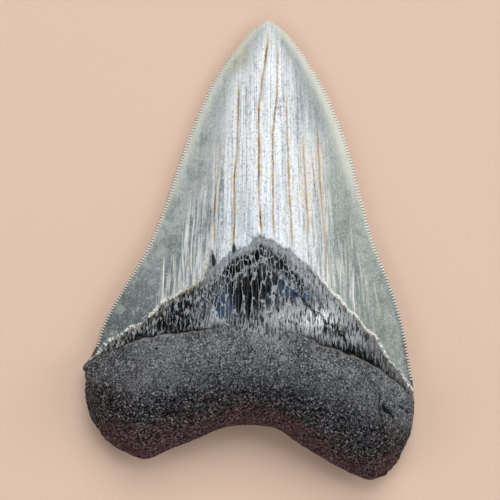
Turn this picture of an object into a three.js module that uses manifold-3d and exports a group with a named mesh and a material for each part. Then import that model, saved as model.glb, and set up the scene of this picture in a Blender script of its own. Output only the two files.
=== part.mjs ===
// A fossil megalodon tooth, lying on its labial (outer) face with the lingual (inner) face up.
// Millimetres: X across the tooth, Y from the root to the tip, Z up from the surface under it.
// A tooth grows as one body, so this is one closed solid: a broad blade, the crown, which
// thickens downwards into a two-lobed root. The two faces are height functions over one
// outline, and they meet along the cutting edges and around the rim of the root.
import * as THREE from 'three';
import Module from 'manifold-3d';
import { ParametricGeometry } from 'three/addons/geometries/ParametricGeometry.js';
import { mergeGeometries, mergeVertices } from 'three/addons/utils/BufferGeometryUtils.js';

// The outline seen from above, from the tip down each cutting edge to the corner of the crown,
// round the side of the root, and along the basal margin under the lobes and the arch.
const TIP = [4.9, 62.1];
const LEFT_SHOULDER = [-41.6, -26.8];
const RIGHT_SHOULDER = [43.9, -35.8];
const LEFT_CORNER = [-36.2, -54.2];
const RIGHT_CORNER = [36.9, -60.8];
const LEFT_CUTTING_EDGE = [
  TIP, [1.5, 59.9], [-3.0, 55.2], [-9.6, 45.9], [-14.6, 35.2], [-18.8, 24.3],
  [-22.8, 12.0], [-27.8, 0.0], [-33.4, -9.6], [-38.9, -19.2], LEFT_SHOULDER,
];
const RIGHT_CUTTING_EDGE = [
  TIP, [8.2, 59.9], [12.4, 55.2], [18.6, 46.0], [23.7, 35.2], [27.5, 24.3],
  [30.6, 12.0], [34.0, 0.0], [38.0, -10.0], [41.3, -20.8], RIGHT_SHOULDER,
];
const LEFT_ROOT_SIDE = [LEFT_SHOULDER, [-44.4, -33.2], [-43.6, -41.5], [-41.0, -48.2], LEFT_CORNER];
const RIGHT_ROOT_SIDE = [RIGHT_SHOULDER, [44.1, -42.5], [43.1, -49.3], [40.7, -55.5], RIGHT_CORNER];
const BASAL_MARGIN = [
  LEFT_CORNER, [-28.6, -56.6], [-20.8, -54.3], [-13.0, -50.3], [-6.0, -48.0], [0.0, -47.1],
  [6.5, -48.6], [14.0, -52.7], [22.0, -57.8], [27.5, -61.0], [32.0, -62.1], RIGHT_CORNER,
];

// Heights above the resting surface.
const EDGE_AT_TIP = 2.2;
const EDGE_AT_SHOULDERS = 5.0;
const EDGE_ROUND_ROOT = 6.6;
const BELLY_AT_TIP = 1.3;
const BELLY = -0.5;           // below the surface: the belly is cut flat there, as it rests

// Thickness of the lingual side above the edges.
const TIP_THICKNESS = 1.2;
const CROWN_THICKNESS = 15.4;
const TORUS_BULGE = 4.0;
const LOBE_THINNING = 0.75;   // part of the thickness lost from the middle to the ends of the lobes

// Shape of the two faces. Along the tooth, t runs from 0 at the tip to 1 at the basal margin.
const CROWN_PART = 0.78;      // t at the shoulders, where the crown ends and the root begins
const TIP_BLUNTNESS = 0.06;   // part of the crown over which the point rounds off
const LINGUAL_RIM = 12.0;     // width of the rounded rim of the root, on each face
const LABIAL_RIM = 10.0;
const LINGUAL_CROWN = 1.15;   // a higher power makes a keener cutting edge
const LABIAL_CROWN = 2.4;     // a higher power makes a flatter middle
const TORUS_PLACE = 0.4;      // the torus's crest and its spread, as parts of the root
const TORUS_SPREAD = 0.45;

// The grid of each face, and the part of its rows that lie on the crown.
const COLUMNS = 36;
const ROWS = 46;
const CROWN_ROWS = 0.68;
const ROUNDING = 1e-3;        // points closer than this are one point

const smooth = THREE.MathUtils.smoothstep;
const lerp = THREE.MathUtils.lerp;

/** A smooth curve through points of the outline. */
function curveThrough(points) {
  const vectors = points.map(([x, y]) => new THREE.Vector3(x, y, 0));
  return new THREE.CatmullRomCurve3(vectors, false, 'centripetal');
}

const leftSide = [curveThrough(LEFT_CUTTING_EDGE), curveThrough(LEFT_ROOT_SIDE)];
const rightSide = [curveThrough(RIGHT_CUTTING_EDGE), curveThrough(RIGHT_ROOT_SIDE)];
const basalPoints = curveThrough(BASAL_MARGIN).getSpacedPoints(160);
const rimPoints = [
  ...leftSide[1].getSpacedPoints(60), ...basalPoints.slice(1, -1),
  ...rightSide[1].getSpacedPoints(60).reverse(),
];
const rootRim = rimPoints.slice(1).map((point, i) => new THREE.Line3(rimPoints[i], point));

/** The point of one side at t, which runs from 0 at the tip to 1 at the corner of the root. */
function sidePoint([crown, root], t) {
  if (t < CROWN_PART) return crown.getPointAt(t / CROWN_PART);
  return root.getPointAt((t - CROWN_PART) / (1 - CROWN_PART));
}

/** Height of the basal margin over x, by straight steps between its spaced points. */
function basalY(x) {
  const next = Math.max(1, basalPoints.findIndex((point) => point.x > x - ROUNDING));
  const [a, b] = [basalPoints[next - 1], basalPoints[next]];
  return lerp(a.y, b.y, THREE.MathUtils.clamp((x - a.x) / (b.x - a.x), 0, 1));
}

/** The outline's point at s across, -1 to 1, and t along: rows bend slowly into the root's arch. */
function planPoint(s, t) {
  const left = sidePoint(leftSide, t);
  const right = sidePoint(rightSide, t);
  const across = (s + 1) / 2;
  const x = lerp(LEFT_CORNER[0], RIGHT_CORNER[0], across);
  const arch = basalY(x) - lerp(LEFT_CORNER[1], RIGHT_CORNER[1], across);
  return left.lerp(right, across).add(new THREE.Vector3(0, arch * smooth(t, 0, CROWN_PART), 0));
}

/** Distance of an inner point from the root's rim. */
function rimDistance(point) {
  const nearest = new THREE.Vector3();
  const distances = rootRim.map((line) => {
    line.closestPointToPoint(point, true, nearest);
    return nearest.distanceTo(point);
  });
  return Math.min(...distances);
}

/** A quarter-ellipse that rises from 0 on the rim to 1 at a given width inside it. */
function rimProfile(distance, width) {
  const inside = 1 - Math.min(distance / width, 1);
  return Math.sqrt(1 - inside * inside);
}

/** Both faces' heights at (s, t), as [labial, lingual]. */
function heights(s, t, point) {
  const onOutline = Math.abs(s) === 1 || t === 1;
  const distance = onOutline ? 0 : rimDistance(point);
  const crown = Math.min(t / CROWN_PART, 1);
  const root = Math.max((t - CROWN_PART) / (1 - CROWN_PART), 0);
  const rooted = smooth(t, CROWN_PART - 0.02, CROWN_PART + 0.1);
  const blunt = rimProfile(crown, TIP_BLUNTNESS);
  const edge = EDGE_AT_TIP + (EDGE_AT_SHOULDERS - EDGE_AT_TIP) * crown * crown
    + (EDGE_ROUND_ROOT - EDGE_AT_SHOULDERS) * rooted;
  const torus = TORUS_BULGE * smooth(crown, 0.8, 1)
    * Math.exp(-(((root - TORUS_PLACE) / TORUS_SPREAD) ** 2));
  const thickness = blunt * (TIP_THICKNESS + (CROWN_THICKNESS - TIP_THICKNESS) * crown ** 0.9);
  const lobes = 1 - LOBE_THINNING * s * s * lerp(0.4, 1, root);
  const lingualCrown = (1 - s * s) ** LINGUAL_CROWN;
  const lingualLens = lerp(lingualCrown, lobes * rimProfile(distance, LINGUAL_RIM), rooted);
  const belly = lerp(BELLY_AT_TIP, BELLY, smooth(crown, 0, 0.4));
  const labialCrown = 1 - Math.abs(s) ** LABIAL_CROWN;
  const labialLens = lerp(labialCrown, rimProfile(distance, LABIAL_RIM), rooted);
  return [edge - blunt * (edge - belly) * labialLens, edge + (thickness + torus) * lingualLens];
}

/** One face of the tooth: side 0 is the labial one, which faces down, and 1 the lingual one. */
function face(side) {
  return new ParametricGeometry((u, v, target) => {
    const across = Math.sin((u - 0.5) * Math.PI);
    const s = side === 1 ? -across : across;
    const rootPart = Math.max((v - CROWN_ROWS) / (1 - CROWN_ROWS), 0);
    const t = v < CROWN_ROWS
      ? CROWN_PART * (v / CROWN_ROWS) ** 1.2
      : lerp(CROWN_PART, 1, Math.sin(rootPart * Math.PI / 2));
    const point = planPoint(s, t);
    target.set(point.x, point.y, heights(s, t, point)[side]);
  }, COLUMNS, ROWS);
}

/** Joins sheets that share their edges into one closed geometry, without collapsed triangles. */
function closedGeometry(sheets) {
  const joined = mergeGeometries(sheets);
  joined.deleteAttribute('normal');
  joined.deleteAttribute('uv');
  const merged = mergeVertices(joined, ROUNDING);
  const corners = Array.from(merged.index.array);
  const kept = [];
  for (let i = 0; i < corners.length; i += 3) {
    const [a, b, c] = corners.slice(i, i + 3);
    if (a !== b && b !== c && c !== a) kept.push(a, b, c);
  }
  merged.setIndex(kept);
  return merged;
}

const wasm = await Module();
wasm.setup();

/** A closed geometry as a solid that can be cut. */
function solidOf(geometry) {
  return new wasm.Manifold(new wasm.Mesh({
    numProp: 3,
    vertProperties: new Float32Array(geometry.attributes.position.array),
    triVerts: new Uint32Array(geometry.index.array),
  }));
}

/** A solid back as a geometry. */
function geometryOf(solid) {
  const mesh = solid.getMesh();
  const geometry = new THREE.BufferGeometry();
  geometry.setAttribute('position', new THREE.BufferAttribute(mesh.vertProperties, 3));
  geometry.setIndex(new THREE.BufferAttribute(mesh.triVerts, 1));
  geometry.computeVertexNormals();
  return geometry;
}

// The belly of the labial face is cut flat where the tooth rests on it.
const whole = solidOf(closedGeometry([face(0), face(1)]));
const room = new THREE.BoxGeometry(200, 200, 100).translate(0, 0, 50);
const rested = whole.intersect(solidOf(closedGeometry([room])));

const tooth = new THREE.Mesh(
  geometryOf(rested),
  new THREE.MeshStandardMaterial({ color: 0xb4bcbc, roughness: 0.35, metalness: 0 }),
);
tooth.name = 'tooth';

const group = new THREE.Group();
group.add(tooth);

export default group;
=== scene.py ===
# A fossil megalodon tooth, lying on its labial (outer) face with the lingual (inner) face up.
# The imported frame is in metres: X across the tooth, Y from the root to the tip, Z up. Shapes here
# are worked out in millimetres and turned to metres when the mesh is made.
from math import radians
import bmesh
import bpy
import numpy as np
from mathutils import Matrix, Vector


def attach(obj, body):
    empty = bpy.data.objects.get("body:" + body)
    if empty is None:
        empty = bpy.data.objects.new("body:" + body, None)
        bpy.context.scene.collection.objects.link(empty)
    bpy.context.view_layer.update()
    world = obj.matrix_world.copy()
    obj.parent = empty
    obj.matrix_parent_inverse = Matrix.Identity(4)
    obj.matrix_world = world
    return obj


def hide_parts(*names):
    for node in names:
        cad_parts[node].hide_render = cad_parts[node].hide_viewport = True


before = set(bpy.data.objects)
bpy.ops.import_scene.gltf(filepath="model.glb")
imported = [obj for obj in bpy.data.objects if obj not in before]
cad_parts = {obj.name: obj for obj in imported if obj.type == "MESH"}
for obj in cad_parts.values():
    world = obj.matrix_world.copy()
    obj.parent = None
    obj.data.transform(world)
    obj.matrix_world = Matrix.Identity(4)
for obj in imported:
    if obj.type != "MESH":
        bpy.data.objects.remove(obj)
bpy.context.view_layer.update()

# --------------------------------------------------------------------------------------------
# The studio: a plain pale floor, a dim sky, one large soft light beyond the tip and three weaker
# ones round the other sides, all too far aside to be mirrored in the level parts of the tooth.
# The camera looks straight down through a long lens.
# --------------------------------------------------------------------------------------------
FLOOR_COLOUR = "#E5C8B4"
SKY_COLOUR = "#F2EFEC"
SKY_STRENGTH = 0.20
FLOOR_HALF = 2.0              # m, like the rest of the studio
EDGE_LEVEL = 0.004            # where the tooth's edges are, on average
VIEW_HEIGHT = 0.1355          # what the view takes in at that level
CAMERA_Y = -0.0006
LENS = 100.0                  # mm, like the sensor
SENSOR = 36.0


def linear(hex_colour):
    """An sRGB hex colour as linear RGBA: below 0.04045 divided by 12.92, above it the 2.4 curve."""
    channels = np.array([int(hex_colour[i:i + 2], 16) for i in (1, 3, 5)]) / 255
    curve = ((channels + 0.055) / 1.055) ** 2.4
    return (*np.where(channels <= 0.04045, channels / 12.92, curve), 1.0)


def add(tree, kind, inputs=None, out=0, **settings):
    """Adds a node, sets its properties, fills its inputs with values or with other nodes'
    outputs, and returns one of its own outputs, by place or by name."""
    node = tree.nodes.new(kind)
    for name, value in settings.items():
        setattr(node, name, value)
    for key, value in (inputs or {}).items():
        if isinstance(value, bpy.types.NodeSocket):
            tree.links.new(value, node.inputs[key])
        else:
            node.inputs[key].default_value = value
    return node.outputs[out] if node.outputs else None


def new_material(name):
    """A material with an empty node tree and its output node."""
    material = bpy.data.materials.new(name)
    material.use_nodes = True
    material.node_tree.nodes.clear()
    return material, material.node_tree


# Painted board: an even matt surface.
board, tree = new_material("matt_painted_board")
shader = add(tree, "ShaderNodeBsdfPrincipled", {
    "Base Color": linear(FLOOR_COLOUR), "Roughness": 0.85, "Specular IOR Level": 0.2})
add(tree, "ShaderNodeOutputMaterial", {"Surface": shader})

floor_mesh = bpy.data.meshes.new("floor")
floor_mesh.from_pydata(
    [(x * FLOOR_HALF, y * FLOOR_HALF, 0.0) for x, y in ((-1, -1), (1, -1), (1, 1), (-1, 1))],
    [], [(0, 1, 2, 3)])
floor = bpy.data.objects.new("floor", floor_mesh)
floor_mesh.materials.append(board)
bpy.context.collection.objects.link(floor)

world = bpy.data.worlds.new("studio")
world.use_nodes = True
world.node_tree.nodes["Background"].inputs["Color"].default_value = linear(SKY_COLOUR)
world.node_tree.nodes["Background"].inputs["Strength"].default_value = SKY_STRENGTH
bpy.context.scene.world = world
bpy.context.scene.view_settings.view_transform = "Standard"

PANELS = {                    # size in m, power in W, position in m
    "tip_panel": (1.60, 44.0, (0.30, 1.50, 2.10)),
    "right_panel": (1.00, 7.0, (1.30, 0.10, 1.10)),
    "left_panel": (1.00, 5.0, (-1.30, -0.20, 1.10)),
    "root_panel": (1.20, 4.6, (0.00, -1.50, 1.00)),
}
for name, (size, power, position) in PANELS.items():
    light = bpy.data.lights.new(name, "AREA")
    light.size = size
    light.energy = power
    lamp = bpy.data.objects.new(name, light)
    lamp.location = position
    lamp.rotation_euler = (-Vector(position)).to_track_quat("-Z", "Y").to_euler()
    bpy.context.collection.objects.link(lamp)

camera_data = bpy.data.cameras.new("camera")
camera_data.lens = LENS
camera_data.sensor_width = SENSOR
camera = bpy.data.objects.new("camera", camera_data)
camera.location = (0.0, CAMERA_Y, EDGE_LEVEL + VIEW_HEIGHT * LENS / SENSOR)
bpy.context.collection.objects.link(camera)
bpy.context.scene.camera = camera

# --------------------------------------------------------------------------------------------
# The tooth: one fossil, grown as a single piece, of enamel over the crown, a bare dark band
# called the bourlette under it, and a root of porous bone. Minerals have replaced all three.
# Its body is two height functions over one outline, which meet along the edges.
# --------------------------------------------------------------------------------------------
MM = 0.001
LINGUAL, LABIAL = 1, -1       # the face that lies up and the face that lies down

# The outline from above, in mm: from the tip down each cutting edge to the shoulder, round the
# side of the root, and along the basal margin under the lobes and the arch.
TIP = (4.9, 62.1)
LEFT_SHOULDER = (-41.6, -26.8)
RIGHT_SHOULDER = (43.9, -35.8)
LEFT_CORNER = (-36.2, -54.2)
RIGHT_CORNER = (36.9, -60.8)
LEFT_CUTTING_EDGE = [
    TIP, (1.5, 59.9), (-3.0, 55.2), (-9.6, 45.9), (-14.6, 35.2), (-18.8, 24.3),
    (-22.8, 12.0), (-27.8, 0.0), (-33.4, -9.6), (-38.9, -19.2), LEFT_SHOULDER]
RIGHT_CUTTING_EDGE = [
    TIP, (8.2, 59.9), (12.4, 55.2), (18.6, 46.0), (23.7, 35.2), (27.5, 24.3),
    (30.6, 12.0), (34.0, 0.0), (38.0, -10.0), (41.3, -20.8), RIGHT_SHOULDER]
LEFT_ROOT_SIDE = [LEFT_SHOULDER, (-44.4, -33.2), (-43.6, -41.5), (-41.0, -48.2), LEFT_CORNER]
RIGHT_ROOT_SIDE = [RIGHT_SHOULDER, (44.1, -42.5), (43.1, -49.3), (40.7, -55.5), RIGHT_CORNER]
BASAL_MARGIN = [
    LEFT_CORNER, (-28.6, -56.6), (-20.8, -54.3), (-13.0, -50.3), (-6.0, -48.0), (0.0, -47.1),
    (6.5, -48.6), (14.0, -52.7), (22.0, -57.8), (27.5, -61.0), (32.0, -62.1), RIGHT_CORNER]

# Heights above the resting surface. The belly would go under it, so it is flat where it rests.
EDGE_AT_TIP, EDGE_AT_SHOULDERS, EDGE_ROUND_ROOT = 2.2, 5.0, 6.6
BELLY_AT_TIP, BELLY = 1.3, -0.5
BELLY_SOFTNESS = 0.2          # how gently the belly turns into the flat
# Thickness of the lingual face above the edges. The torus is the swelling across the root.
TIP_THICKNESS, CROWN_THICKNESS, TORUS_BULGE = 1.2, 15.4, 4.0
TORUS_PLACE, TORUS_SPREAD = 0.4, 0.45      # as parts of the root
LOBE_THINNING = 0.75          # part of the thickness lost from the middle to the lobes' ends
# Along the tooth t runs from 0 at the tip to 1 at the basal margin.
CROWN_PART = 0.78             # t at the shoulders
TIP_BLUNTNESS = 0.06          # part of the crown over which the point rounds off
LINGUAL_RIM, LABIAL_RIM = 12.0, 10.0       # width of the root's rounded rim
LINGUAL_POWER, LABIAL_POWER = 1.15, 2.4    # how full the crown's cross section is on each face

SERRATIONS = 130              # on each cutting edge, 0.8 mm apart
SERRATION_DEPTH = 0.42
SERRATION_FADE = 0.8          # how far in from the edge they can still be felt
ROWS_PER_SERRATION = 4
ROOT_ROWS = 140
EDGE_COLUMNS = np.array([0.0, 0.3, 0.7, 1.2, 1.8, 2.6])      # distances from the cutting edge
LINGUAL_COLUMNS, LABIAL_COLUMNS = 192, 64


def smooth_step(value, low=0.0, high=1.0):
    """0 below low, 1 above high, and 3w^2 - 2w^3 between."""
    part = np.clip((value - low) / (high - low), 0, 1)
    return part * part * (3 - 2 * part)


def smooth_curve(points, steps=40):
    """A centripetal Catmull-Rom curve as a dense polyline: cubic Hermite spans, whose end
    slopes weigh the neighbouring chords by the square roots of their lengths."""
    p = np.array(points, float)
    p = np.vstack([2 * p[0] - p[1], p, 2 * p[-1] - p[-2]])
    before, start, end, after = p[:-3], p[1:-2], p[2:-1], p[3:]
    root_0, root_1, root_2 = (
        np.sqrt(np.linalg.norm(b - a, axis=1))[:, None]
        for a, b in ((before, start), (start, end), (end, after)))
    slope_in = root_1 * ((start - before) / root_0 - (end - before) / (root_0 + root_1)
                         + (end - start) / root_1)
    slope_out = root_1 * ((end - start) / root_1 - (after - start) / (root_1 + root_2)
                          + (after - end) / root_2)
    w = np.linspace(0, 1, steps, endpoint=False)[None, :, None]
    spans = ((2 * w**3 - 3 * w**2 + 1) * start[:, None] + (w**3 - 2 * w**2 + w) * slope_in[:, None]
             + (3 * w**2 - 2 * w**3) * end[:, None] + (w**3 - w**2) * slope_out[:, None])
    return np.vstack([spans.reshape(-1, 2), p[-2]])


def at_part(line, part):
    """The points of a polyline at given parts of its length, 0 to 1."""
    reach = np.concatenate([[0], np.cumsum(np.linalg.norm(np.diff(line, axis=0), axis=1))])
    return np.stack([np.interp(part * reach[-1], reach, line[:, k]) for k in (0, 1)], axis=-1)


left_side = (smooth_curve(LEFT_CUTTING_EDGE), smooth_curve(LEFT_ROOT_SIDE))
right_side = (smooth_curve(RIGHT_CUTTING_EDGE), smooth_curve(RIGHT_ROOT_SIDE))
basal_line = smooth_curve(BASAL_MARGIN)
root_line = np.vstack([left_side[1], basal_line[1:-1], right_side[1][::-1]])


def side_point(lines, t):
    """One side of the outline at t: 0 at the tip, CROWN_PART at the shoulder, 1 at the corner."""
    crown = at_part(lines[0], np.clip(t / CROWN_PART, 0, 1))
    root = at_part(lines[1], np.clip((t - CROWN_PART) / (1 - CROWN_PART), 0, 1))
    return np.where((t < CROWN_PART)[..., None], crown, root)


def serration(t):
    """Height of the serrations along the crown, 0 in a notch and 1 on a point: the square root
    of half a sine wave, so the points are round and the notches are sharp."""
    wave = np.sqrt(np.abs(np.sin(np.pi * SERRATIONS * t / CROWN_PART)))
    return np.where(t < CROWN_PART, wave, 0.0)


def plan(s, t):
    """Plan position at s across, -1 to 1, and t along. A row is a straight line between the two
    sides, bent as t grows into the arch of the basal margin, and its ends carry the serrations,
    which push outwards and fade inwards by exp(-distance / SERRATION_FADE). Two sine waves make
    some of them more worn than others."""
    step = 1e-3
    left, right = side_point(left_side, t), side_point(right_side, t)
    across = ((s + 1) / 2)[..., None]
    point = left + (right - left) * across
    corner_x = LEFT_CORNER[0] + (RIGHT_CORNER[0] - LEFT_CORNER[0]) * across[..., 0]
    corner_y = LEFT_CORNER[1] + (RIGHT_CORNER[1] - LEFT_CORNER[1]) * across[..., 0]
    arch = np.interp(corner_x, basal_line[:, 0], basal_line[:, 1]) - corner_y
    point[..., 1] += arch * smooth_step(t, 0, CROWN_PART)
    width = right[..., 0] - left[..., 0]
    worn = 0.75 + 0.25 * np.sin(t * 41) * np.sin(t * 97 + 1.3)
    depth = SERRATION_DEPTH * worn * smooth_step(t, 0, 0.05) * (serration(t) - 0.5)
    depth *= 1 - smooth_step(t, CROWN_PART - 0.03, CROWN_PART)
    for lines, sign, inside in ((left_side, 1, s + 1), (right_side, -1, 1 - s)):
        along = side_point(lines, t + step) - side_point(lines, t - step)
        along /= np.linalg.norm(along, axis=-1)[..., None]
        outwards = np.stack([along[..., 1], -along[..., 0]], axis=-1) * sign
        fade = np.exp(-inside / 2 * width / SERRATION_FADE)
        point += outwards * (depth * fade)[..., None]
    return point, width


def line_distance(points, line):
    """The shortest distance from each point to the spans of a polyline."""
    start, span = line[:-1], np.diff(line, axis=0)
    gap = points[:, None, :] - start
    part = np.clip((gap * span).sum(-1) / (span * span).sum(-1), 0, 1)
    return np.linalg.norm(gap - span * part[..., None], axis=-1).min(axis=1)


def rim_profile(distance, width):
    """A quarter-ellipse: 0 at the rim and 1 from a given width inwards."""
    inside = 1 - np.clip(distance / width, 0, 1)
    return np.sqrt(1 - inside * inside)


def sheet(face, s, t):
    """Points of one face at s across and t along, and s, t, the face and the distance to the
    side there. The crown is a lens on its edges' level, (1 - s^2)^p above it and 1 - |s|^p
    below. The root is a slab with an elliptical rim, and a torus, a bell curve of t, across it."""
    s, t = np.broadcast_arrays(s, t)
    point, width = plan(s, t)
    on_outline = (np.abs(s) > 1 - 1e-9) | (t > 1 - 1e-9) | (t < 1e-9)
    rooted = smooth_step(t, CROWN_PART - 0.02, CROWN_PART + 0.1)
    distance = np.zeros(s.shape)
    near = (rooted > 0) & ~on_outline
    distance[near] = line_distance(point[near], root_line[::3])
    crown = np.clip(t / CROWN_PART, 0, 1)
    root = np.clip((t - CROWN_PART) / (1 - CROWN_PART), 0, 1)
    blunt = rim_profile(crown, TIP_BLUNTNESS)
    edge = (EDGE_AT_TIP + (EDGE_AT_SHOULDERS - EDGE_AT_TIP) * crown**2
            + (EDGE_ROUND_ROOT - EDGE_AT_SHOULDERS) * rooted)
    if face == LINGUAL:
        torus = np.exp(-((root - TORUS_PLACE) / TORUS_SPREAD) ** 2)
        torus = TORUS_BULGE * smooth_step(crown, 0.8, 1) * torus
        thickness = blunt * (TIP_THICKNESS + (CROWN_THICKNESS - TIP_THICKNESS) * crown**0.9)
        lobes = 1 - LOBE_THINNING * s * s * (0.4 + 0.6 * root)
        blade = (1 - s * s) ** LINGUAL_POWER
        profile = blade + (lobes * rim_profile(distance, LINGUAL_RIM) - blade) * rooted
        height = edge + (thickness + torus) * np.where(on_outline, 0, profile)
    else:
        belly = BELLY_AT_TIP + (BELLY - BELLY_AT_TIP) * smooth_step(crown, 0, 0.4)
        blade = 1 - np.abs(s) ** LABIAL_POWER
        profile = blade + (rim_profile(distance, LABIAL_RIM) - blade) * rooted
        height = edge - blunt * (edge - belly) * np.where(on_outline, 0, profile)
        worn_flat = (height + np.sqrt(height**2 + BELLY_SOFTNESS**2)) / 2
        height = np.where(on_outline, height, worn_flat)
    grid = np.stack([point[..., 0], point[..., 1], height], axis=-1)
    rim = (1 - np.abs(s)) / 2 * width
    return grid, np.stack([s, t, np.full(s.shape, float(face)), rim], axis=-1)


# Rows: four to a serration on the crown, and on the root closer and closer to its rim.
crown_rows = SERRATIONS * ROWS_PER_SERRATION
fine_t = np.concatenate([
    CROWN_PART * np.arange(crown_rows) / crown_rows,
    CROWN_PART + (1 - CROWN_PART) * np.sin(np.linspace(0, np.pi / 2, ROOT_ROWS + 1))])[:, None]
coarse_t = fine_t[::2]


def edge_columns(t):
    """s of the columns next to the outline: fixed distances in mm on the crown, and on the root
    equal steps round its elliptical rim, never over 0.3 of the half width."""
    half = (side_point(right_side, t[:, 0])[:, 0] - side_point(left_side, t[:, 0])[:, 0]) / 2
    half = np.maximum(half, 1e-6)
    turned = LINGUAL_RIM * (1 - np.cos(np.linspace(0, radians(50), len(EDGE_COLUMNS))))
    rooted = smooth_step(t, CROWN_PART - 0.02, CROWN_PART + 0.05)
    distance = EDGE_COLUMNS + (turned - EDGE_COLUMNS) * rooted
    distance = distance * np.minimum(1, 0.3 * half[:, None] / distance[:, -1:])
    return -1 + distance / half[:, None]


fine_edge, coarse_edge = edge_columns(fine_t), edge_columns(coarse_t)
# Each face is laid in three blocks: a fine strip along each side, and a coarser middle.
points, measures, blocks = [], [], {}
for face, columns in ((LINGUAL, LINGUAL_COLUMNS), (LABIAL, LABIAL_COLUMNS)):
    inner = -coarse_edge[:, -1:] * np.linspace(-1, 1, columns + 1)
    for part, s, t in (("left", fine_edge, fine_t), ("middle", inner, coarse_t),
                       ("right", -fine_edge[:, ::-1], fine_t)):
        grid, measured = sheet(face, s, t)
        first = sum(len(p) for p in points)
        blocks[face, part] = first + np.arange(grid[..., 0].size).reshape(grid.shape[:2])
        points.append(grid.reshape(-1, 3))
        measures.append(measured.reshape(-1, 4))


def polygons_between(corners, face):
    """Polygons from arrays of corner numbers, given anticlockwise as seen from above, and turned
    round on the labial face so that they look outwards there too."""
    polygons = np.stack([c.ravel() for c in corners], axis=1)
    return (polygons if face == LINGUAL else polygons[:, ::-1]).tolist()


polygons = []
for face in (LINGUAL, LABIAL):
    left, middle, right = (blocks[face, part] for part in ("left", "middle", "right"))
    # The labial middle stops one row short of the seam.
    rows = slice(None) if face == LINGUAL else slice(None, -1)
    for g in (left, right, middle[rows, 1:-1]):
        polygons += polygons_between((g[:-1, :-1], g[1:, :-1], g[1:, 1:], g[:-1, 1:]), face)
    # Where an edge strip meets the middle, there are two of its rows to one of the middle's.
    a, b = left[:, -1], right[:, 0]
    pentagons = np.stack([
        np.stack([a[:-2:2], a[1::2], a[2::2], middle[1:, 1], middle[:-1, 1]]),
        np.stack([middle[:-1, -2], middle[1:, -2], b[2::2], b[1::2], b[:-2:2]])])
    polygons += polygons_between(pentagons[..., rows].transpose(1, 0, 2), face)
# The seam on the basal margin: each labial column takes three of the lingual columns.
seam, last = blocks[LINGUAL, "middle"][-1], blocks[LABIAL, "middle"][-2]
a, b = blocks[LABIAL, "left"][:, -1], blocks[LABIAL, "right"][:, 0]
for corners in (
        (last[1:-2], seam[3:-5:3], seam[4:-4:3], seam[5:-3:3], seam[6:-2:3], last[2:-1]),
        (a[-3:-2], a[-2:-1], seam[:1], seam[1:2], seam[2:3], seam[3:4], last[1:2]),
        (last[-2:-1], seam[-4:-3], seam[-3:-2], seam[-2:-1], seam[-1:], b[-2:-1], b[-3:-2])):
    polygons += polygons_between(corners, LABIAL)

mesh = bpy.data.meshes.new("tooth")
mesh.from_pydata(np.concatenate(points) * MM, [], polygons)
for name, values in zip(("across", "along", "face", "rim"), np.concatenate(measures).T):
    mesh.attributes.new(name, "FLOAT", "POINT").data.foreach_set("value", values.astype("f4"))
# The blocks share the points where they meet, and the tip's points are one.
shaping = bmesh.new()
shaping.from_mesh(mesh)
bmesh.ops.remove_doubles(shaping, verts=shaping.verts, dist=2e-7)
bmesh.ops.delete(shaping, geom=[v for v in shaping.verts if not v.link_faces], context="VERTS")
shaping.to_mesh(mesh)
shaping.free()


def bell(value, width):
    """exp(-(value / width)^2)."""
    return np.exp(-(value / width) ** 2)


count = len(mesh.vertices)
place, normal = np.empty(count * 3, "f4"), np.empty(count * 3, "f4")
mesh.vertices.foreach_get("co", place)
mesh.vertex_normals.foreach_get("vector", normal)
place, normal = place.reshape(-1, 3).astype(float) / MM, normal.reshape(-1, 3)
across, along, face, rim = (np.empty(count, "f4") for _ in range(4))
for name, values in zip(("across", "along", "face", "rim"), (across, along, face, rim)):
    mesh.attributes[name].data.foreach_get("value", values)
# Details are laid out in the plan of the edges' level, as an eye above the tooth sees them.
EYE_HEIGHT = 376.4            # above that level
x, y, z = place.T
nearness = EYE_HEIGHT / (EYE_HEIGHT + EDGE_LEVEL / MM - z)
x, y = x * nearness, y * nearness
lingual = face > 0
# The grid folds up at the root's two corners, so their normals point out from a ball inside them.
for corner, inside in ((LEFT_CORNER, (-33.6, -51.2)), (RIGHT_CORNER, (35.0, -57.8))):
    nearby = bell(np.linalg.norm(place[:, :2] - corner, axis=1), 1.6)[:, None]
    outwards = place - (*inside, EDGE_ROUND_ROOT)
    normal = normal * (1 - nearby) + nearby * outwards / np.linalg.norm(outwards, axis=1)[:, None]
# The enamel's lengthwise grain draws in to the tip: how far right of x = 4 each strand of it
# crosses y = 3.
strand = (x - 4) / (1 - 0.003 * (y - 3))

# The lower edge of the enamel, left to right: a ragged chevron on the lingual face, and a
# shallow arc on the labial face. Then the root's upper margin, which shows on the lingual face.
ENAMEL_EDGE = [
    (-46, -33), (-41.4, -29.3), (-39.6, -27.1), (-37.4, -25.3), (-34.9, -24.0), (-32.4, -22.2),
    (-29.9, -21.2), (-27.1, -19.0), (-24.9, -16.9), (-23.4, -14.7), (-20.3, -13.8), (-17.8, -11.9),
    (-15.3, -11.0), (-12.5, -8.8), (-11.6, -6.5), (-10.3, -1.0), (-9.3, -3.9), (-8.9, -5.6),
    (-7.9, -3.8), (-4.8, -0.8), (-4.4, 1.7), (-3.6, -0.8), (-0.2, 0.7), (0.8, 2.9), (2.6, 3.5),
    (3.9, 2.3), (5.7, 2.3), (9.5, -0.5), (11.4, -0.5), (12.9, -3.0), (15.7, -4.9), (17.6, -7.4),
    (20.4, -10.2), (21.9, -12.4), (24.1, -13.9), (26.3, -17.4), (28.1, -18.6), (31.2, -22.3),
    (33.7, -24.5), (35.3, -27.3), (36.5, -29.5), (38.8, -32.1), (41.3, -35.2), (46, -41.5)]
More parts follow.
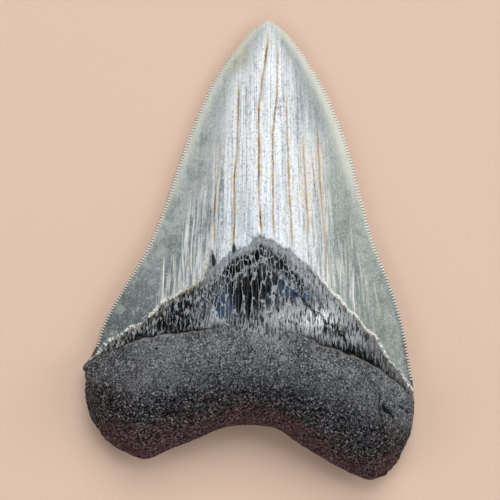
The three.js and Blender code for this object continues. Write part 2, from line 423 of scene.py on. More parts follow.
LABIAL_ENAMEL_EDGE = [
    (-46, -32.5), (-41.6, -28.6), (-34, -23.5), (-24, -19.5), (-12, -17.4), (0, -17.0),
    (12, -18.6), (24, -23.4), (34, -30.0), (43.9, -38.6), (47, -41)]
ROOT_MARGIN = [
    (-46, -30.5), (-41.1, -29.3), (-37.7, -28.4), (-34.0, -26.8), (-30.8, -25.3), (-26.8, -24.3),
    (-20.0, -23.4), (-13.7, -22.5), (-4.5, -20.8), (4, -21.5), (14, -23.7), (19.6, -26.5),
    (24.5, -27.8), (28.3, -29.6), (33.9, -32.1), (37.6, -34.9), (42, -38.6), (46, -42.5)]


def value_noise(spots, seed):
    """Smooth noise from -1 to 1: random values on a unit lattice that repeats every 48 steps,
    blended between its points by 3w^2 - 2w^3 along every axis."""
    spots = np.stack(np.broadcast_arrays(*spots), axis=-1)
    whole = np.floor(spots).astype(int)
    part = spots - whole
    part = part * part * (3 - 2 * part)
    lattice = np.random.default_rng(seed).uniform(-1, 1, (48,) * spots.shape[-1])
    total = np.zeros(spots.shape[:-1])
    for corner in np.ndindex(*(2,) * spots.shape[-1]):
        weight = np.where(corner, part, 1 - part).prod(axis=-1)
        total += weight * lattice[tuple(np.moveaxis((whole + corner) % 48, -1, 0))]
    return total


def above_line(x, y, line):
    """Distance in mm above a line that runs from left to right, negative below it."""
    line = np.array(line, float)
    distance = line_distance(np.stack([x, y], axis=-1), line)
    return np.copysign(distance, y - np.interp(x, line[:, 0], line[:, 1]))


# Distances in mm: above the enamel's lower edge and below the root's upper margin, both made
# ragged by noise, then from the basal margin and from the root's whole outline.
ragged = 0.35 * value_noise((strand / 0.9, y / 9), 1) + 0.2 * value_noise((strand / 0.45, y / 9), 2)
enamel = np.where(lingual, above_line(x, y - ragged, ENAMEL_EDGE),
                  above_line(x, y - 0.5 * ragged, LABIAL_ENAMEL_EDGE))
waver = 0.4 * value_noise((x / 2.2, y / 2.2), 3) + 0.2 * value_noise((x / 0.9, y / 0.9), 4)
root = np.where(lingual, -above_line(x, y - waver, ROOT_MARGIN), -enamel)
basal = line_distance(place[:, :2], basal_line[::4])
margin = line_distance(place[:, :2], root_line[::4])

# Cracks in the enamel, along the growth of the crown: points from low to high, then how strong
# the ochre stain and the dark open core are.
CRACKS = [
    ([(3.1, 3.9), (2.4, 14.7), (2.4, 38.0), (3.25, 44.8), (4.2, 51.3), (4.85, 55.9)], 1.0, 0.9),
    ([(6.4, 3.4), (6.2, 14.7), (6.2, 31.0), (6.6, 35.8), (7.2, 42.0), (7.6, 52.2)], 0.55, 1.0),
    ([(-4.4, 1.3), (-4.1, 5.4), (-4.1, 19.4), (-3.3, 27.2), (-2.9, 42.0)], 0.7, 0.65),
    ([(11.35, 0.7), (10.9, 8.5), (10.3, 23.3), (9.8, 38.9)], 0.55, 0.5),
    ([(15.6, 3.9), (15.4, 8.5), (14.9, 16.3), (14.2, 28.0)], 0.75, 0.5),
    ([(20.4, -10.0), (20.35, -3.9), (20.0, 3.9), (18.8, 17.8), (18.1, 31.0)], 0.45, 0.5),
    ([(-9.65, -0.8), (-9.65, 7.0), (-9.2, 13.2), (-7.9, 27.2)], 0.4, 0.65)]
# Hairlines, which are closed: points from low to high, then white (1) or dark (-1).
HAIRLINES = [
    ([(-1.25, 3.9), (-1.25, 8.5), (-0.8, 17.8), (-0.8, 42.0)], -0.6),
    ([(13.3, 15.2), (12.6, 35.8)], -0.6), ([(18.0, 5.4), (17.6, 14.7), (16.3, 27.2)], -0.6),
    ([(-12.3, 17.8), (-11.7, 27.2)], -0.5), ([(-23.3, -14.2), (-23.0, -4.3)], 1.0),
    ([(-20.2, -13.6), (-20.4, -3.9)], 0.9), ([(-17.6, -11.4), (-17.9, -2.4), (-16.8, 4.5)], 1.0),
    ([(-15.7, -7.1), (-15.6, 0.7), (-14.8, 7.9)], 0.8),
    ([(-13.85, -3.9), (-13.2, 6.0), (-12.8, 10.4)], 0.8), ([(-9.9, -2.0), (-9.6, 8.0)], 1.0),
    ([(20.9, -10.0), (20.8, -3.9)], 1.0), ([(27.5, -17.7), (27.7, -7.4)], 1.0),
    ([(24.4, -11.4), (24.3, -5.2)], 0.6), ([(31.9, -16.7), (31.2, -9.0)], 0.5),
    ([(35.0, -18.3), (33.4, -10.5)], 0.4)]


def nearest_line(lines, fade):
    """The sideways distance in mm to the nearest line, and each line's strengths there: 1 along
    its height, fading out past its ends, and 0 half way to the next line, where the nearest
    one changes."""
    sideways, strengths = [], []
    for spots, *strength in lines:
        spots = np.array(spots, float)
        wander = 0.08 * value_noise((y / 2.2, y * 0 + len(sideways) * 7.7), 5)
        sideways.append(x - wander - np.interp(y, spots[:, 1], spots[:, 0]))
        inside = smooth_step(y, spots[0, 1] - fade, spots[0, 1] + fade)
        inside = inside * (1 - smooth_step(y, spots[-1, 1] - fade, spots[-1, 1] + 2 * fade))
        uneven = 0.75 + 0.45 * value_noise((y / 4.0, y * 0 + len(sideways) * 3.3), 18)
        strengths.append(np.array(strength)[:, None] * inside * uneven)
    sideways, strengths = np.array(sideways), np.array(strengths)
    order = np.argsort(np.abs(sideways), axis=0)
    each = np.arange(count)
    nearest, second = sideways[order[0], each], sideways[order[1], each]
    clear = smooth_step(np.abs(second) - np.abs(nearest), 0.9, 1.4) * lingual
    return nearest, strengths[order[0], :, each].T * clear


crack, (ochre, core) = nearest_line(CRACKS, 2.0)
hairline, (tone,) = nearest_line(HAIRLINES, 1.5)

# Relief in mm along the normals. The enamel and the root both stand over the bourlette, but
# along the tooth's middle the bourlette runs into the root.
ENAMEL_STEP, ROOT_STEP = 0.45, 0.75
MIDDLE = 2.0                  # x of the tooth's middle
central = bell(x - MIDDLE, 9)
on_enamel = smooth_step(enamel, -0.25, 0.45)
on_root = smooth_step(root, -0.35, 0.35)
on_root *= np.where(lingual, 1 - 0.9 * central * (1 - smooth_step(root, 0, 6)), 1)
# On the outline itself both faces have the same enamel and bone, divided at the shoulders.
outer = 1 - smooth_step(rim, 0, 1.2)
rooted = smooth_step(along, CROWN_PART, CROWN_PART + 0.05)
on_enamel += (1 - rooted - on_enamel) * outer
on_root += (rooted - on_root) * outer
on_bourlette = (1 - on_enamel) * (1 - on_root)
inland = np.maximum(smooth_step(rim, 0.2, 1.4), rooted)
# The steps, with a crumbled lip on the enamel, a swollen one on the root, and a low one along
# the top of the bourlette.
crumbs = 0.5 + 0.5 * value_noise((x / 0.7, y / 0.7), 17)
lipped = (1 - central) * (1 - outer)
lips = on_enamel * (ENAMEL_STEP + 0.09 * crumbs * bell(enamel - 0.6, 0.6) * lipped)
lips += on_root * (ROOT_STEP + 0.30 * bell(root - 1.0, 1.0) * lipped)
lips += 0.25 * bell(enamel + 1.0, 0.9) * smooth_step(x, -14, -8) * (1 - smooth_step(x, 24, 32))
# Enamel: lengthwise grain, open cracks in grooves, white hairlines as ridges, and panels that
# bulge a little between the cracks.
grain_lines = 0.045 * value_noise((strand / 1.0, y / 30, z / 8), 6)
grain_lines += 0.045 * value_noise((strand / 2.4, y / 50, z / 8), 7)
groove = -(0.13 * core + 0.05 * ochre) * bell(crack, 0.45)
ridge = 0.10 * np.maximum(tone, 0) * bell(hairline, 0.4)
panel = 0.10 * (1 - bell(crack, 1.5)) * ochre
# Bourlette: furrows along its grain. Root: grain, swells and worn patches, coarser near the
# basal margin.
furrows = -0.30 * np.abs(value_noise((strand / 1.4, y / 4.5), 8))
furrows += 0.10 * value_noise((x / 0.8, y / 1.6), 9)
coarse_bone = 1 + 0.8 * smooth_step(basal, 1, 3) * (1 - smooth_step(basal, 6, 14))
bone = (0.13 * coarse_bone * value_noise((x / 1.3, y / 1.1, z / 1.1), 10)
        + 0.06 * coarse_bone * value_noise((x / 0.6, y / 0.6, z / 0.6), 11)
        + 0.60 * value_noise((x / 7, y / 5, z / 6), 12) - 0.6 * bell(margin, 3)
        - 0.30 * smooth_step(value_noise((x / 3.2, y / 1.6, z / 2.3), 13), 0.35, 0.7))

# Slots worn along the grain of the bourlette: x, y, half width, half length, depth.
SLOTS = [(-3.0, -13.0, 0.6, 5.5, 0.7), (-0.6, -13.5, 0.7, 5.8, 0.8), (1.8, -12.5, 0.5, 4.6, 0.6),
         (-5.4, -12.0, 0.5, 3.5, 0.5), (4.4, -12.0, 0.5, 4.0, 0.4), (-12.5, -16.5, 0.6, 3.0, 0.3),
         (7.4, -13.5, 0.5, 3.8, 0.3), (-18.5, -18.5, 0.6, 2.6, 0.3), (-25.0, -21.5, 0.7, 1.8, 0.3),
         (17.5, -17.0, 0.5, 3.2, 0.25), (25.5, -23.5, 0.5, 3.0, 0.25),
         (-9.95, -3.2, 0.55, 1.8, 0.7), (-4.5, 0.0, 0.45, 1.4, 0.7)]
# Pits, then shallow dents and furrows, in the root: x, y, half width, half height, depth.
PITS = [(-25.0, -27.6, 0.55, 0.5, 0.5), (-22.3, -37.9, 0.5, 0.5, 0.45), (-2.0, -39.5, 0.4, 0.4, 0.4),
        (14.2, -41.7, 0.4, 0.4, 0.4), (-41.6, -37.9, 0.4, 0.4, 0.3), (31.0, -37.5, 0.4, 0.4, 0.35)]
DENTS = [(-32.5, -33.5, 1.6, 3.4, 0.8), (-27.0, -31.0, 3.4, 3.0, -0.5), (37.0, -44.0, 1.6, 3.2, 0.9),
         (39.5, -49.5, 1.6, 2.6, 0.7), (-14.0, -41.0, 4.5, 1.0, 0.6), (-19.0, -45.0, 5.0, 0.9, 0.6),
         (4.0, -33.0, 3.5, 1.6, 0.35), (22.0, -46.0, 3.0, 1.2, 0.6), (-33.0, -44.5, 2.6, 1.3, 0.6),
         (12.0, -40.0, 5.0, 1.0, 0.5), (28.0, -41.0, 3.4, 1.3, 0.4), (-8.0, -30.0, 4.0, 1.2, 0.3),
         (-44.3, -32.6, 1.4, 1.3, -0.9), (-43.6, -36.6, 1.4, 1.6, 0.6)]
# Creases in the root: points along each, then its depth.
CREASES = [([(34.7, -39.5), (34.2, -42.0), (34.6, -45.0)], 0.7),
           ([(36.0, -42.6), (37.6, -44.2), (39.4, -46.6)], 0.8),
           ([(40.4, -43.2), (43.0, -45.6)], 0.8), ([(35.4, -46.0), (36.4, -49.6)], 0.5),
           ([(-27.0, -42.8), (-21.0, -41.6), (-15.3, -39.2)], 0.6),
           ([(-23.5, -45.5), (-17.0, -44.3), (-10.5, -41.6)], 0.5),
           ([(-42.0, -37.9), (-38.0, -38.2), (-33.7, -39.0)], 0.5),
           ([(-31.2, -30.6), (-30.2, -33.0), (-30.8, -35.4)], 0.65),
           ([(-26.6, -27.4), (-26.0, -29.2), (-25.0, -31.2)], 0.5),
           ([(10.0, -40.0), (17.0, -42.5), (25.0, -45.0), (33.0, -50.5)], 0.4)]
# Below this line the root is darker: partly its own colour and partly painted shade on its lower side,
# which turns away from the light.
DARK_EDGE = [(-46, -38.5), (-30, -40.5), (-15, -39.0), (0, -37.5), (10, -38.5), (20, -42.5),
             (30, -46.5), (38, -49.5), (46, -50)]


def hollows(shapes):
    """Soft-edged hollows: each is depth * exp(-(dx/w)^2 - (dy/h)^2), and a negative one rises."""
    return sum(depth * bell(x - cx, w) * bell(y - cy, h) for cx, cy, w, h, depth in shapes) * lingual


# Positions pushed about by noise, on which straight lines wander.
bent = np.stack([x, y], axis=-1) + 0.8 * value_noise((x / 2, y / 2, np.array(((0.0,), (9.5,)))), 16).T
creases = sum(depth * bell(line_distance(bent, np.array(line, float)), 0.45)
              for line, depth in CREASES) * on_root * lingual
dim = -above_line(x, y - 2 * waver, DARK_EDGE)
# How deep the slots, pits, creases and dents are: the mesh is pushed in by it, and the material darkens
# by it as painted shade.
pit = hollows(SLOTS) * on_bourlette + hollows(PITS) * on_root + 0.45 * creases
pit += 0.15 * np.maximum(hollows(DENTS), 0) * on_root
gap = 0.6 * bell(root + 0.55, 0.5) * (1 - central) * lingual      # along the foot of the root's step
relief = lips + on_enamel * (grain_lines + groove + ridge + panel)
relief += on_bourlette * furrows * lingual + on_root * (bone - hollows(DENTS)) - pit - gap
relief -= 0.5 * creases
relief *= inland
# Each serration runs a little way up both faces.
serrated = 0.16 * (serration(along) - 0.5) * np.exp(-rim / 1.1) * smooth_step(along, 0, 0.05)
relief += serrated * (along < CROWN_PART)
relief = np.where(lingual | (along > CROWN_PART), relief, relief * 0.6)
place = place + normal * relief[:, None]
# Nothing goes under the resting surface: (z + sqrt(z^2 + 0.1^2)) / 2 bends there and stays above.
under = place[:, 2]
rested = (under + np.sqrt(under**2 + 0.1**2)) / 2
place[:, 2] = np.where(lingual & (along < 0.99), under, rested)
mesh.vertices.foreach_set("co", (place * MM).astype("f4").ravel())

# How pale the crown is, whitest in a strip along its middle that narrows to the tip: partly the
# enamel's paler colour and partly a painted highlight where the level middle mirrors the light. Then
# how striped it is, in a wider strip.
drift = 0.12 * value_noise((strand / 5, y / 40), 14) + 0.05 * value_noise((strand / 1.2, y / 30), 15)
middle_pale_and_highlight = (1 - smooth_step(np.abs(across - 0.02 + drift), 0.20, 0.80)) * lingual
middle_pale_and_highlight *= 1 - 0.70 * smooth_step(y, 44, 60) - 0.20 * smooth_step(y, 22, 2)
widening = 0.30 * smooth_step(y, 48, -8) * (1 - 0.45 * smooth_step(across, 0, 0.3))
striped = 1 - 0.92 * smooth_step(np.abs(across - 0.08 + drift) - widening, 0.38, 0.60)
striped = np.where(lingual, striped, 0.45)

# Where the bourlette is black, where blue-grey painted reflections lie, and where painted highlights
# lie: x, y, half width, half height, strength.
BLACK = [(-1.5, -11.5, 7.5, 8.0, 1.0), (-23.0, -20.5, 9.0, 3.5, 0.7), (2.0, -4.0, 9.0, 4.0, 1.0),
         (9.0, -9.0, 5.0, 4.0, 0.8), (22.0, -22.5, 7.0, 1.5, 0.7), (30.0, -28.5, 7.0, 2.0, 0.7),
         (-36.0, -27.0, 6.0, 2.0, 0.6)]
BLUE_REFLECTIONS = [(-7.3, -15.5, 2.8, 4.5, 1.0), (11.3, -10.5, 3.2, 2.6, 1.0), (14.5, -13.5, 3.0, 2.5, 0.7),
        (-11.5, -17.5, 3.0, 3.0, 0.5)]
PAINTED_HIGHLIGHTS = [(18.5, -19.5, 5.0, 3.6, 1.0), (-10.0, -18.5, 3.5, 2.5, 0.45), (9.0, -18.5, 4.0, 2.6, 0.5),
          (26.0, -24.0, 5.0, 2.2, 0.3)]

# Lines across the bourlette that are only painted, not in the mesh: light slanting lines (1), and black
# painted shadow in sunken folds (-1).
FOLDS = [([(-4.2, -8.0), (-1.5, -6.0), (1.5, -4.6), (4.0, -3.4)], 0.9),
         ([(4.0, -3.4), (7.5, -6.5), (10.5, -9.5)], 0.6),
         ([(12.5, -13.0), (17.0, -17.0), (21.5, -21.0), (26.0, -25.2), (30.0, -28.5)], -1.0)]


def patches(shapes):
    """Soft patches, each strength * exp(-(dx/w)^2 - (dy/h)^2), together no more than 1."""
    total = sum(most * bell(x - cx, w) * bell(y - cy, h) for cx, cy, w, h, most in shapes)
    return np.minimum(total * 1.3, 1) * lingual


light_line_and_fold_shadow = sum(strength * bell(line_distance(bent, np.array(line, float)), 0.7)
           for line, strength in FOLDS) * on_bourlette * lingual

# What the material reads from the mesh: distances in mm, and strengths from 0 to 1.
for name in ("across", "along", "face"):
    mesh.attributes.remove(mesh.attributes[name])
facts = {
    "enamel": enamel, "root": root, "basal": basal, "middle_pale_and_highlight": middle_pale_and_highlight, "striped": striped,
    "strand": strand, "crack": crack, "ochre": ochre, "core": core, "hairline": hairline,
    "white": np.maximum(tone, 0), "dark": np.maximum(-tone, 0), "pit": pit,
    "dim": dim, "root_cover": on_root, "black": patches(BLACK), "blue_reflection": patches(BLUE_REFLECTIONS),
    "painted_highlight": patches(PAINTED_HIGHLIGHTS), "light_line_and_fold_shadow": light_line_and_fold_shadow, "tooth_point": serration(along),
    "aside": np.abs(x - MIDDLE)}
for name, values in facts.items():
    mesh.attributes.new(name, "FLOAT", "POINT").data.foreach_set("value", values.astype("f4"))
mesh.polygons.foreach_set("use_smooth", np.ones(len(mesh.polygons), bool))
mesh.update()
tooth = bpy.data.objects.new("tooth_fossil", mesh)
bpy.context.collection.objects.link(tooth)

# Tooth replaced by minerals, worn smooth in sediment. The enamel gives the eye a polished grey-white
# with a fine lengthwise grain, ochre stains in its cracks and a painted highlight along its middle; the
# bourlette a glossy near-black with a crazed grain, painted highlights and blue-grey painted
# reflections; and the root a matt charcoal like sandpaper, brown at its margin from a stain and painted
# light thrown up from the floor. Painted shade darkens the flanks, the hollows, the gap above the root
# and the root's lower side.
finish, tree = new_material("mineralised_tooth")
spot = add(tree, "ShaderNodeVectorMath", {
    0: add(tree, "ShaderNodeTexCoord", out="Object"), 1: (1000, 1000, 1000)}, operation="MULTIPLY")
split = add(tree, "ShaderNodeSeparateXYZ", {0: spot}).node.outputs
to_right, to_tip = split["X"], split["Y"]
of = {name: add(tree, "ShaderNodeAttribute", out="Fac", attribute_name=name)
      for name in ("rim", *facts)}
for name in ("crack", "hairline"):
    of[name] = add(tree, "ShaderNodeMath", {0: of[name]}, operation="ABSOLUTE")
strands_at = add(tree, "ShaderNodeCombineXYZ", {"X": of["strand"], "Y": to_tip, "Z": split["Z"]})
# Positions squeezed along the tooth, so that patterns on them are drawn out that way.
lengthwise, endless, drawn_out, combed, netted, slotted = (
    add(tree, "ShaderNodeVectorMath", {0: where, 1: squeeze}, operation="MULTIPLY")
    for where, squeeze in ((strands_at, (1, 0.05, 0.1)), (strands_at, (1, 0.010, 0.05)),
                           (spot, (1, 0.22, 0.3)), (spot, (1, 0.30, 0.3)),
                           (spot, (1, 0.36, 0.3)), (spot, (1, 0.17, 0.3))))

# Noises: what each follows, how many of its grains to a millimetre, its detail and roughness.
# The real threads and pores are about 0.1 mm wide, too fine to show with the whole tooth in
# view, so they are drawn three to five times as coarse.
noise = {name: add(tree, "ShaderNodeTexNoise", {
    "Vector": where, "Scale": scale, "Detail": detail, "Roughness": rough})
    for name, (where, scale, detail, rough) in {
        "clouds": (spot, 0.13, 4, 0.60), "blotches": (spot, 0.33, 4, 0.60),
        "specks": (spot, 3.4, 1, 0.50), "broken": (spot, 0.9, 3, 0.60),
        "strands": (lengthwise, 0.62, 3, 0.60), "threads": (lengthwise, 1.8, 3, 0.65),
        "lines": (endless, 0.55, 1, 0.50), "mottle": (drawn_out, 1.0, 4, 0.65),
        "furrows": (combed, 1.9, 3, 0.62), "bristles": (slotted, 2.4, 3, 0.60),
        "clots": (spot, 1.5, 3, 0.70), "pores": (spot, 3.1, 3, 0.75)}.items()}
# Faint lines run up the enamel where a noise crosses its middle value.
off_line = add(tree, "ShaderNodeMath", {0: add(tree, "ShaderNodeMath", {
    0: noise["lines"], 1: 0.5}, operation="SUBTRACT")}, operation="ABSOLUTE")
# The bourlette is crazed into two nets of bent cells, short ones above and long slots below.
warp = add(tree, "ShaderNodeTexNoise", {"Vector": spot, "Scale": 0.9, "Detail": 3}, out="Color")
cells, slots = (
    add(tree, "ShaderNodeTexVoronoi", {
        "Vector": add(tree, "ShaderNodeVectorMath", {0: warp, 1: (bend, bend, bend), 2: stretched},
                      operation="MULTIPLY_ADD"),
        "Scale": scale}, feature="DISTANCE_TO_EDGE")
    for stretched, bend, scale in ((netted, 0.6, 0.95), (slotted, 0.7, 0.80)))
# Grains like sandpaper, 0.37 mm across, twice the real ones so that they show.
grain = add(tree, "ShaderNodeTexVoronoi", {"Vector": spot, "Scale": 2.7}).node.outputs
# The brown margin of the root, a stain with painted warm light thrown up from the floor, has an uneven
# edge.
meander = add(tree, "ShaderNodeMapRange", {
    "Value": noise["blotches"], "From Min": 0.3, "From Max": 0.7, "To Min": -2.2, "To Max": 2.2})
below, inwards = (add(tree, "ShaderNodeMath", {0: of[name], 1: meander}, operation="ADD")
                  for name in ("root", "basal"))


def layered(colour, layers):
    """Colours laid over one another. Each layer is its colour, its strength, and any number of
    (measure, start, full), whose smooth steps from 0 at start to 1 at full multiply it."""
    for over, mask, *limits in layers:
        for measure, start, full in limits:
            mask = add(tree, "ShaderNodeMapRange", {
                "Value": measure, "From Min": start, "From Max": full, "To Max": mask},
                interpolation_type="SMOOTHSTEP")
        colour = add(tree, "ShaderNodeMix", {
            0: mask, 6: linear(colour) if isinstance(colour, str) else colour,
            7: linear(over) if isinstance(over, str) else over}, out=2, data_type="RGBA")
    return colour


enamel_colour = layered("#AFB8B7", [
    # Grey flanks, darker to the root and on the lower left: partly the enamel's grey and partly painted
    # shade where the flanks turn away from the light. Clouded and mottled.
    ("#4C575B", 0.88, (to_tip, 10, -22), (to_right, 4, -24)),
    ("#7B8686", 0.75, (to_tip, 6, -26), (to_right, 2, 24)),
    ("#66726F", 0.55, (noise["clouds"], 0.49, 0.64)),
    ("#C9CFC6", 0.50, (noise["blotches"], 0.50, 0.70), (to_tip, -20, 20)),
    ("#4E5A58", 0.50, (noise["blotches"], 0.51, 0.66), (to_tip, 30, 6)),
    ("#C6CDC8", 0.38, (noise["blotches"], 0.47, 0.34), (to_tip, 30, 6)),
    # The white middle, pale enamel with a painted highlight where its level part mirrors the light,
    # greyer to the right and bluer above the bourlette.
    ("#F4FAFF", 0.98, (of["middle_pale_and_highlight"], -0.05, 0.86)),
    ("#8F9A93", 0.42, (to_right, 12, 25), (to_tip, 34, 12)),
    ("#8A979B", 0.48, (to_right, 7, 14), (to_tip, 24, 38), (to_tip, 60, 52)),
    ("#B4CBDE", 0.34, (to_tip, 26, 6), (to_right, 12, 5), (to_right, -16, -9),
     (of["middle_pale_and_highlight"], 0.2, 0.7)),
    # Lengthwise grain and faint lines, then stronger stripes on both sides.
    ("#74828A", 0.28, (noise["strands"], 0.50, 0.64), (of["striped"], 0, 1)),
    ("#FBFDFD", 0.45, (noise["strands"], 0.47, 0.34), (of["striped"], 0, 1)),
    ("#3C4850", 0.60, (off_line, 0.022, 0.002), (noise["broken"], 0.38, 0.58), (of["striped"], 0, 1)),
    ("#66737D", 0.30, (noise["threads"], 0.51, 0.64), (of["striped"], 0, 1)),
    ("#FFFFFF", 0.36, (noise["threads"], 0.47, 0.34), (of["striped"], 0, 1)),
    ("#76807F", 0.34, (noise["threads"], 0.50, 0.58), (to_right, 9, 15), (to_tip, 22, 10),
     (of["striped"], 0, 0.7)),
    ("#ECEADF", 0.30, (noise["threads"], 0.49, 0.41), (to_right, 9, 15), (to_tip, 22, 10),
     (of["striped"], 0, 0.7)),
    ("#5E6C76", 0.48, (noise["threads"], 0.50, 0.57), (to_right, -6, -10), (to_right, -27, -20),
     (to_tip, 34, 18), (of["striped"], 0, 0.5)),
    ("#EEF1F0", 0.34, (noise["threads"], 0.49, 0.42), (to_right, -6, -10), (to_right, -27, -20),
     (to_tip, 34, 18), (of["striped"], 0, 0.5)),
    ("#F0E2CB", 0.65, (noise["threads"], 0.51, 0.44), (to_right, 11, 14), (to_right, 21, 18),
     (to_tip, 6, 14), (to_tip, 31, 26)),
    # Specks all over.
    ("#3F494E", 0.27, (grain["Color"], 0.45, 1.0)),
    ("#5A646C", 0.40, (grain["Color"], 0.70, 0.95), (of["middle_pale_and_highlight"], 0.4, 0.9)),
    ("#FFFFFF", 0.17, (grain["Color"], 0.45, 0.1)),
    # A yellow tinge near the tip, and pale rims along the cutting edges, brown at the root.
    ("#C9BC92", 0.50, (to_tip, 44, 52), (to_right, 3, -1), (noise["blotches"], 0.44, 0.60)),
    ("#E2E6DA", 0.60, (of["rim"], 6.0, 0.8), (to_right, 4, 18), (to_tip, 6, 26)),
    ("#E4E6DA", 0.75, (of["rim"], 3.8, 1.0), (to_tip, 0, 30)),
    ("#E0E1D4", 0.75, (of["rim"], 1.7, 0.8), (noise["broken"], 0.28, 0.50), (to_tip, -16, 8)),
    ("#57403C", 0.75, (of["rim"], 2.4, 0.5), (to_tip, -22, -27), (noise["broken"], 0.42, 0.55)),
    # Serrations: dark notches, and pale points painted as highlights on the serration tips.
    ("#34332D", 0.85, (of["rim"], 1.2, 0.4), (of["tooth_point"], 0.75, 0.15),
     (noise["broken"], 0.26, 0.46)),
    ("#FCFAEF", 0.80, (of["rim"], 1.1, 0.3), (of["tooth_point"], 0.70, 0.98)),
    # Cracks: a wide stain, a narrow one, and the dark core. Then the hairlines.
    ("#E6D3B0", of["ochre"], (of["crack"], 1.15, 0.45), (noise["broken"], 0.50, 0.60)),
    ("#DFC59C", of["ochre"], (of["crack"], 0.62, 0.30), (noise["broken"], 0.42, 0.56)),
    ("#A88B66", of["ochre"], (of["crack"], 0.36, 0.12), (noise["specks"], 0.42, 0.54)),
    ("#1D1511", of["core"], (of["crack"], 0.30, 0.12), (noise["specks"], 0.60, 0.52)),
    ("#FFFEFA", of["white"], (of["hairline"], 0.24, 0.07)),
    ("#3F4B53", of["dark"], (of["hairline"], 0.22, 0.06), (noise["broken"], 0.34, 0.48)),
    # The enamel's crumbled lip, white on both wings, tan and brown between.
    ("#FFFEFB", 0.95, (of["enamel"], 0.95, 0.45), (to_right, -12, -19), (noise["specks"], 0.38, 0.48),
     (noise["broken"], 0.42, 0.52)),
    ("#8A7853", 0.75, (of["enamel"], 1.10, 0.40), (to_right, -20, -16), (to_right, -8, -11),
     (noise["specks"], 0.44, 0.54)),
    ("#FFFEFB", 0.95, (of["enamel"], 0.85, 0.35), (to_right, 14, 22), (noise["specks"], 0.38, 0.48),
     (noise["broken"], 0.40, 0.50)),
    ("#8E8062", 0.60, (of["enamel"], 0.30, 0.05), (noise["blotches"], 0.48, 0.56)),
])
bourlette_colour = layered("#34373B", [
    # Near-black, with lighter and darker furrows.
    ("#AEB3B7", 0.92, (noise["furrows"], 0.49, 0.57)),
    ("#030303", 0.95, (noise["furrows"], 0.48, 0.41)),
    # The right wing is greyer, with a finer grain.
    ("#7A7E82", 0.75, (to_right, 14, 20)),
    ("#0E0E0F", 0.86, (noise["bristles"], 0.50, 0.42), (to_right, 14, 20)),
    ("#BDC2C6", 0.42, (noise["bristles"], 0.54, 0.62), (to_right, 14, 20)),
    # Painted highlights: near white where the glossy bourlette would mirror the light.
    ("#F8FBFD", of["painted_highlight"], (noise["bristles"], 0.45, 0.52)),
    # Black cells, blue-grey painted reflections in the long cells, and the grey net between them.
    ("#010101", of["black"], (cells, 0.03, 0.10), (of["enamel"], -1.6, -2.6), (of["enamel"], -7.5, -6)),
    ("#010101", of["black"], (slots, 0.04, 0.11), (of["enamel"], -5.5, -7)),
    ("#384D69", of["blue_reflection"], (slots, 0.03, 0.12), (noise["furrows"], 0.38, 0.50)),
    ("#A6ACB1", 0.86, (cells, 0.080, 0.03), (grain["Color"], 0.05, 0.45), (of["aside"], 20, 12),
     (of["enamel"], -7.5, -6)),
    ("#A6ACB1", 0.86, (slots, 0.090, 0.03), (grain["Color"], 0.05, 0.45), (of["aside"], 20, 12),
     (of["enamel"], -5, -7)),
    # A light slanting line, and the plain grey band under the enamel.
    ("#B4BABE", 0.70, (of["light_line_and_fold_shadow"], 0.35, 0.8), (noise["specks"], 0.42, 0.52)),
    ("#A4AAAF", 0.90, (of["enamel"], -2.2, -1.3), (to_right, -14, -9), (to_right, 16, 10)),
    ("#C2C9CE", 0.58, (of["enamel"], -4.2, -2.6), (to_right, 8, 12), (to_right, 34, 24),
     (noise["bristles"], 0.40, 0.48)),
    ("#3C4043", 0.55, (grain["Color"], 0.50, 0.90), (of["enamel"], -4.0, -1.5), (to_right, -14, -9)),
    # Painted shadow in the sunken fold, crumbs below the enamel, and painted shadow in the black gap
    # above the root.
    ("#010101", 0.95, (of["light_line_and_fold_shadow"], -0.30, -0.75), (noise["broken"], 0.58, 0.48),
     (noise["specks"], 0.62, 0.52)),
    ("#0C0C0D", 0.60, (of["light_line_and_fold_shadow"], -0.10, -0.5), (noise["bristles"], 0.54, 0.46)),
    ("#8F8670", 0.50, (of["enamel"], -1.4, -0.1), (of["aside"], 11, 17), (noise["broken"], 0.44, 0.54)),
    # Painted shadow: black in the gap along the foot of the root's step, wider on the right.
    ("#020202", 0.90, (of["root"], -1.1, -0.4), (of["aside"], 8, 15)),
    ("#010101", 0.95, (of["root"], -2.8, -1.4), (to_right, 19, 24), (to_right, 37, 32),
     (noise["bristles"], 0.60, 0.52)),
])
root_colour = layered("#63696E", [
    # Charcoal, clouded, with a light patch and a dark corner on the left.
    ("#979EA4", 0.60, (noise["clouds"], 0.48, 0.60), (of["root"], 15, 4)),
    ("#A2A8AE", 0.50, (to_right, -35, -30), (to_right, -13, -22), (to_tip, -44, -37)),
    ("#26292D", 0.70, (to_right, -28, -37)),
    ("#F4F6F8", 0.58, (grain["Color"], 0.55, 1.0)),
    # Darker to the basal margin, partly the root's colour and partly painted shade on the lower side,
    # and brown along it: a stain with painted warm light thrown up from the floor.
    ("#3A383E", 0.45, (below, 3, 16)),
    ("#1F1C22", 0.50, (of["dim"], -2.5, 3.0)),
    ("#845153", 0.55, (inwards, 12, 8), (to_right, -14, -28)),
    ("#845153", 0.66, (inwards, 9, 4)),
    # Light grains on the dark part, black ones, pores and clots. Then the pale lip.
    ("#DCD6D8", 0.62, (grain["Color"], 0.62, 0.98), (of["dim"], -4, 2)),
    ("#020202", 0.90, (grain["Color"], 0.50, 0.1)),
    ("#CFC8C9", 0.24, (noise["pores"], 0.50, 0.62)),
    ("#010101", 0.90, (noise["clots"], 0.515, 0.455), (of["dim"], -5, 1)),
    ("#020202", 0.70, (noise["pores"], 0.50, 0.40)),
    ("#A6A49E", 0.55, (of["root"], 0.8, 0.3), (of["aside"], 8, 15)),
])
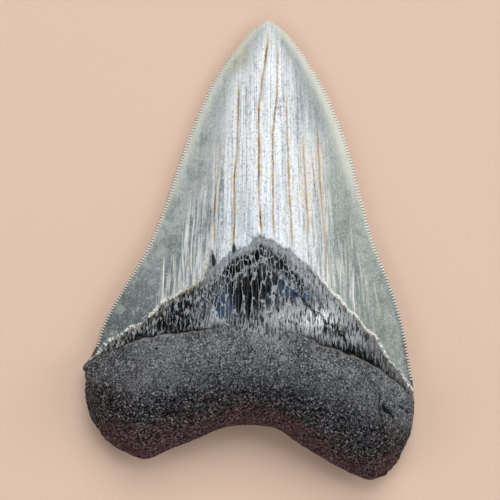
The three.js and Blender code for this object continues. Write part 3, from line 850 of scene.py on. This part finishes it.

# The three parts together, with painted shade in the slots, pits, creases and dents, darker the deeper
# they are. The enamel's edge frays along its threads.
ENAMEL_BLEND = (-0.15, 0.2)   # mm over which the enamel gives way to what is under it
frayed = add(tree, "ShaderNodeMath", {
    0: add(tree, "ShaderNodeMapRange", {
        "Value": noise["threads"], "From Min": 0.3, "From Max": 0.7, "To Min": -0.3, "To Max": 0.3}),
    1: of["enamel"]}, operation="ADD")
colour = layered(bourlette_colour, [
    (root_colour, of["root_cover"]),
    (enamel_colour, 1.0, (frayed, *ENAMEL_BLEND)),
    ("#0A0A0B", 0.90, (of["pit"], 0.08, 0.35)),
])

is_enamel = add(tree, "ShaderNodeMapRange", {
    "Value": frayed, "From Min": ENAMEL_BLEND[0], "From Max": ENAMEL_BLEND[1]})


def by_part(values):
    """The value of whichever part shows, blended where two parts meet."""
    lower = add(tree, "ShaderNodeMix", {
        0: of["root_cover"], 2: values["bourlette"], 3: values["root"]})
    return add(tree, "ShaderNodeMix", {0: is_enamel, 2: lower, 3: values["enamel"]})


# The polish is a clear coat over a body that hardly mirrors: strongest on the enamel, faint on
# the bourlette, and none on the root.
ROUGHNESS = {"enamel": 0.32, "bourlette": 0.34, "root": 0.62}
POLISH = {"enamel": 0.5, "bourlette": 0.14, "root": 0.0}
BODY_MIRRORING = 0.04
COAT_ROUGHNESS = 0.2
HEIGHTS = {                   # bump heights in mm, for what is too fine for the mesh
    "enamel": [(noise["threads"], 0.10), (noise["strands"], 0.15), (noise["specks"], 0.06),
               (add(tree, "ShaderNodeMapRange", {"Value": off_line, "From Max": 0.025}), 0.06)],
    "bourlette": [(noise["mottle"], 0.3), (noise["furrows"], 0.5),
                  (add(tree, "ShaderNodeMapRange", {
                      "Value": slots, "From Min": 0.16, "From Max": 0.04}), 0.25)],
    "root": [(grain["Distance"], -0.35), (noise["pores"], 0.5), (noise["broken"], 0.6)]}
bumps = {}
for part, terms in HEIGHTS.items():
    total = 0.0
    for measure, depth in terms:
        total = add(tree, "ShaderNodeMath", {0: measure, 1: depth, 2: total},
                    operation="MULTIPLY_ADD")
    bumps[part] = total
shader = add(tree, "ShaderNodeBsdfPrincipled", {
    "Base Color": colour, "Roughness": by_part(ROUGHNESS), "Specular IOR Level": BODY_MIRRORING,
    "Coat Weight": by_part(POLISH), "Coat Roughness": COAT_ROUGHNESS,
    "Normal": add(tree, "ShaderNodeBump", {"Height": by_part(bumps), "Distance": MM})})
add(tree, "ShaderNodeOutputMaterial", {"Surface": shader})

mesh.materials.append(finish)
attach(tooth, "root")
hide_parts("tooth")
